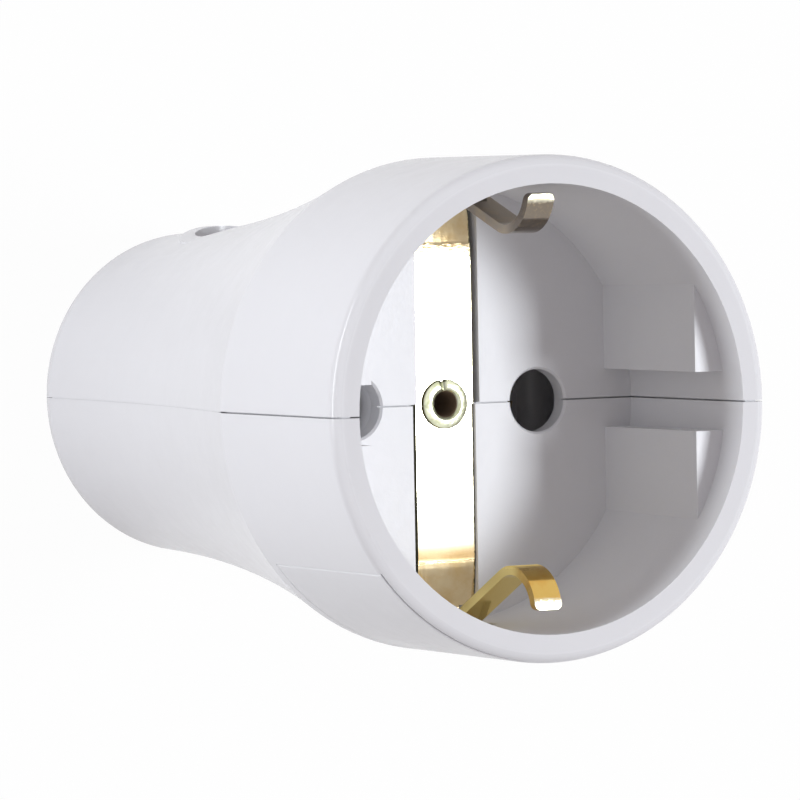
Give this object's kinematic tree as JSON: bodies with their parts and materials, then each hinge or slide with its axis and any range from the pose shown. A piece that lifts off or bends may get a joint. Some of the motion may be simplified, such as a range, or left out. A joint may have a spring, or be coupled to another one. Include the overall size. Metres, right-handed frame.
{
  "type": "inline socket connector",
  "caption": "Round in-line socket for a cord end: deep plug recess with pin holes, side earth clips and key slots, in a split white grip that narrows to the cord entry.",
  "frame": {"origin": "centre of the rear (cord entry) face, on which the part stands", "axes": "+Z from the rear face towards the mouth of the recess, X along the line of the two pin holes, +Y towards the half with the screw recess"},
  "size_m": [0.044, 0.0439, 0.068],
  "materials": {
    "housing_plastic": "glossy cool white moulding",
    "earth_brass": "bright stamped strip, worn gold at the bends",
    "contact_brass": "turned, satin",
    "ring_steel": "spring steel",
    "screw_steel": "zinc plated",
    "leaf_bronze": "thin spring bronze",
    "clamp_plastic": "fine matt moulding"
  },
  "bodies": {
    "root": {"upper_housing": "housing_plastic", "lower_housing": "housing_plastic", "earth_bracket": "earth_brass", "earth_eyelet": "earth_brass", "earth_terminal": "contact_brass", "earth_terminal_screw": "screw_steel", "earth_terminal_leaf": "leaf_bronze", "cord_clamp": "clamp_plastic", "housing_insert": "contact_brass", "housing_screw": "screw_steel", "contact_sleeve_left": "contact_brass", "contact_ring_left": "ring_steel", "terminal_screw_left": "screw_steel", "terminal_leaf_left": "leaf_bronze", "clamp_screw_left": "screw_steel", "contact_sleeve_right": "contact_brass", "contact_ring_right": "ring_steel", "terminal_screw_right": "screw_steel", "terminal_leaf_right": "leaf_bronze", "clamp_screw_right": "screw_steel"}
  },
  "joints": []
}
